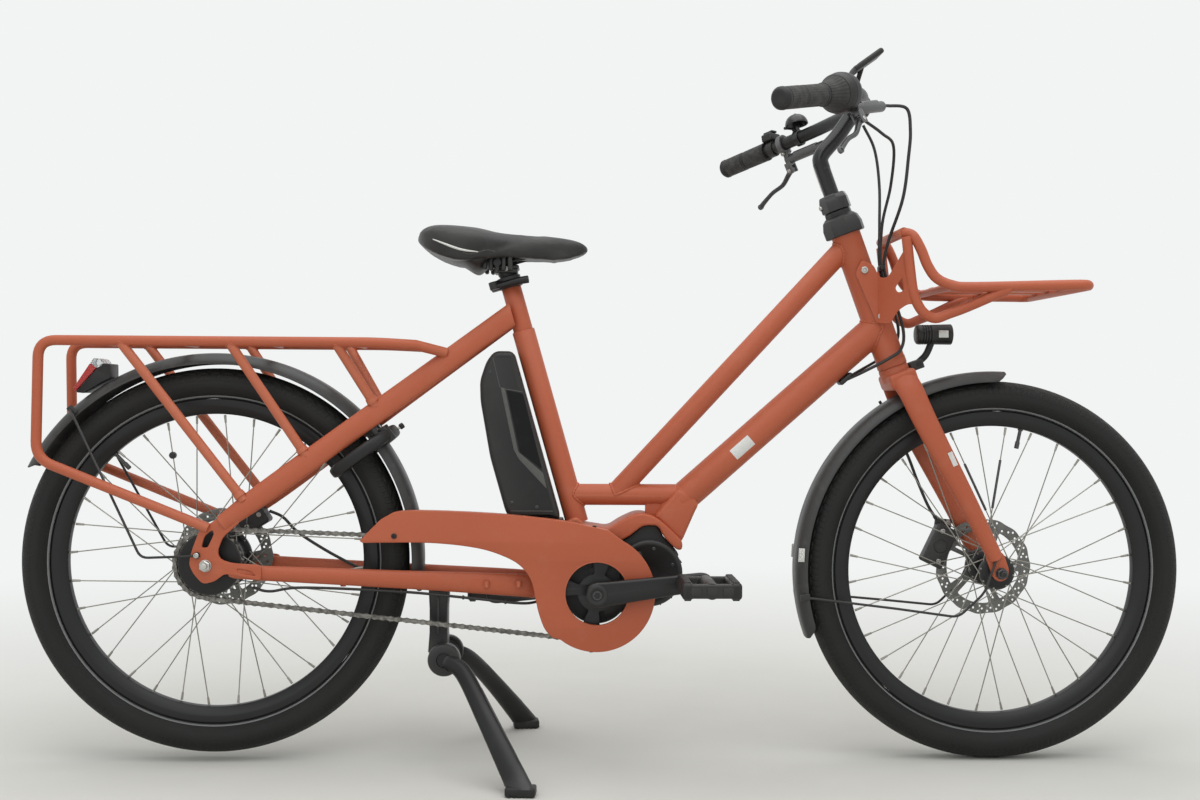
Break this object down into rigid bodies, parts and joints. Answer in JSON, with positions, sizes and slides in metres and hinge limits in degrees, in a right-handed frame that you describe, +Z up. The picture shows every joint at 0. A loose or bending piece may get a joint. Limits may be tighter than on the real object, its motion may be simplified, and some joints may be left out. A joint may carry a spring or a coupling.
{
  "type": "electric cargo bike",
  "caption": "Electric cargo bicycle with a low step-through frame, a front platform, a long rear carrier, mudguards, a centre stand and a ring lock.",
  "frame": {"origin": "on the ground, midway along the bicycle's length, in its middle plane", "axes": "+X forward, +Y to the rider's left, +Z up"},
  "size_m": [1.875, 0.6292, 1.1553],
  "materials": {
    "frame_paint": "satin powder coat",
    "guard_plastic": "matt",
    "black_plastic": "fine moulded grain",
    "black_metal": "black anodised or coated",
    "rubber": "matt",
    "tyre_rubber": "matt",
    "bright_metal": "bare",
    "cover": "soft coated cover",
    "red_lens": "clear moulded"
  },
  "bodies": {
    "frame": {"main_frame": "frame_paint", "rear_frame_left": "frame_paint", "rear_frame_right": "frame_paint", "front_rack": "frame_paint", "rear_axle": "bright_metal", "chain": "bright_metal", "motor": "black_metal", "chain_case": "frame_paint", "battery_mount": "black_plastic", "seat_clamp": "black_metal", "stand_bracket": "black_metal", "rear_mudguard": "guard_plastic", "ring_lock_case": "black_plastic", "rear_light": "red_lens", "rear_caliper": "black_metal", "rear_cables": "rubber", "bar_cables": "rubber", "headset_upper": "black_metal"},
    "steering": {"fork": "frame_paint", "front_axle": "bright_metal", "front_mudguard": "guard_plastic", "front_caliper": "black_metal", "headlight_bracket": "black_plastic", "front_hose": "rubber", "stem": "black_metal", "handlebar": "black_metal", "grip_left": "rubber", "grip_right": "rubber", "brake_body_left": "black_metal", "brake_body_right": "black_metal", "display": "black_plastic", "bell": "black_metal", "assist_switch": "black_plastic"},
    "front_wheel": {"front_hub": "bright_metal", "front_rotor": "bright_metal", "front_tyre": "tyre_rubber", "front_rim": "black_metal"},
    "rear_wheel": {"rear_hub": "bright_metal", "rear_rotor": "bright_metal", "rear_tyre": "tyre_rubber", "rear_rim": "black_metal"},
    "sprocket": {"rear_sprocket": "bright_metal"},
    "crankset": {"crank_arm_left": "black_metal", "crank_arm_right": "black_metal", "chainring": "black_metal"},
    "pedal_left": {"pedal_left": "black_plastic"},
    "pedal_right": {"pedal_right": "black_plastic"},
    "stand": {"stand_legs": "black_metal"},
    "saddle": {"seat_post": "black_metal", "saddle_shell": "black_plastic", "saddle_pad": "cover"},
    "clamp_lever": {"seat_clamp_lever": "black_metal"},
    "battery": {"battery": "black_plastic"},
    "shifter": {"twist_shifter": "rubber"},
    "brake_lever_left": {"brake_lever_left": "black_metal"},
    "brake_lever_right": {"brake_lever_right": "black_metal"},
    "striker": {"bell_striker": "black_metal"},
    "rocker": {"assist_rocker": "black_plastic"},
    "lamp": {"headlight": "black_plastic"},
    "shackle": {"ring_lock_shackle": "bright_metal"}
  },
  "joints": [
    {"name": "steer", "type": "hinge", "parent": "frame", "child": "steering", "pos_m": [0.46497, 0, 0.64034], "axis": [-0.3437, 0, 0.9391], "range_deg": [-50, 50], "deforming": ["bar_cables"]},
    {"name": "front_wheel_spin", "type": "hinge", "parent": "steering", "child": "front_wheel", "pos_m": [0.629, 0, 0.3085], "axis": [0, 1, 0], "continuous": true},
    {"name": "rear_wheel_spin", "type": "hinge", "parent": "frame", "child": "rear_wheel", "pos_m": [-0.629, 0, 0.3215], "axis": [0, 1, 0], "continuous": true},
    {"name": "crank_spin", "type": "hinge", "parent": "frame", "child": "crankset", "pos_m": [-0.019, 0, 0.276], "axis": [0, 1, 0], "continuous": true},
    {"name": "sprocket_spin", "type": "hinge", "parent": "frame", "child": "sprocket", "pos_m": [-0.629, 0, 0.3215], "axis": [0, 1, 0], "continuous": true},
    {"name": "pedal_spin_left", "type": "hinge", "parent": "crankset", "child": "pedal_left", "pos_m": [-0.18758, 0, 0.2541], "axis": [0, 1, 0], "continuous": true},
    {"name": "pedal_spin_right", "type": "hinge", "parent": "crankset", "child": "pedal_right", "pos_m": [0.14958, 0, 0.2979], "axis": [0, 1, 0], "continuous": true},
    {"name": "stand_fold", "type": "hinge", "parent": "frame", "child": "stand", "pos_m": [-0.261, 0, 0.168], "axis": [0, 1, 0], "range_deg": [0, 110]},
    {"name": "saddle_height", "type": "slide", "parent": "frame", "child": "saddle", "axis": [-0.2756, 0, 0.9613], "range_m": [0, 0.15]},
    {"name": "seat_clamp_open", "type": "hinge", "parent": "frame", "child": "clamp_lever", "pos_m": [-0.18622, -0.0213, 0.76484], "axis": [0.2756, 0, -0.9613], "range_deg": [0, 150]},
    {"name": "battery_tilt", "type": "hinge", "parent": "frame", "child": "battery", "pos_m": [-0.11601, 0.018, 0.391], "axis": [-1, 0, 0], "range_deg": [0, 25]},
    {"name": "shift_twist", "type": "hinge", "parent": "steering", "child": "shifter", "pos_m": [0.30193, -0.22077, 1.03376], "axis": [0.6625, 0.7188, 0.2108], "range_deg": [0, 90]},
    {"name": "brake_pull_left", "type": "hinge", "parent": "steering", "child": "brake_lever_left", "pos_m": [0.33422, 0.21143, 0.9953], "axis": [0.6301, 0.6869, 0.3621], "range_deg": [0, 16], "stiffness_Nm_per_rad": 0.5, "springref_deg": -11.46},
    {"name": "brake_pull_right", "type": "hinge", "parent": "steering", "child": "brake_lever_right", "pos_m": [0.36906, -0.17362, 1.00639], "axis": [-0.6301, 0.6869, -0.3621], "range_deg": [0, 16], "stiffness_Nm_per_rad": 0.5, "springref_deg": -11.46},
    {"name": "bell_ring", "type": "hinge", "parent": "steering", "child": "striker", "pos_m": [0.33316, 0.18688, 1.06293], "axis": [-0.1429, 0.155, 0.9775], "range_deg": [0, 25], "stiffness_Nm_per_rad": 0.02, "springref_deg": -17.19},
    {"name": "assist_tip", "type": "hinge", "parent": "steering", "child": "rocker", "pos_m": [0.2977, 0.22536, 1.06034], "axis": [0.7353, 0.6777, 0], "range_deg": [-7, 7], "stiffness_Nm_per_rad": 0.05},
    {"name": "lamp_tilt", "type": "hinge", "parent": "steering", "child": "lamp", "pos_m": [0.50691, 0, 0.64504], "axis": [0, 1, 0], "range_deg": [-15, 15]},
    {"name": "shackle_swing", "type": "hinge", "parent": "frame", "child": "shackle", "pos_m": [-0.39846, 0, 0.49244], "axis": [-0.5948, 0, 0.8039], "range_deg": [0, 108]}
  ],
  "couplings": [
    {"joint": "sprocket_spin", "follows": "crank_spin", "ratio": 1.4074}
  ]
}
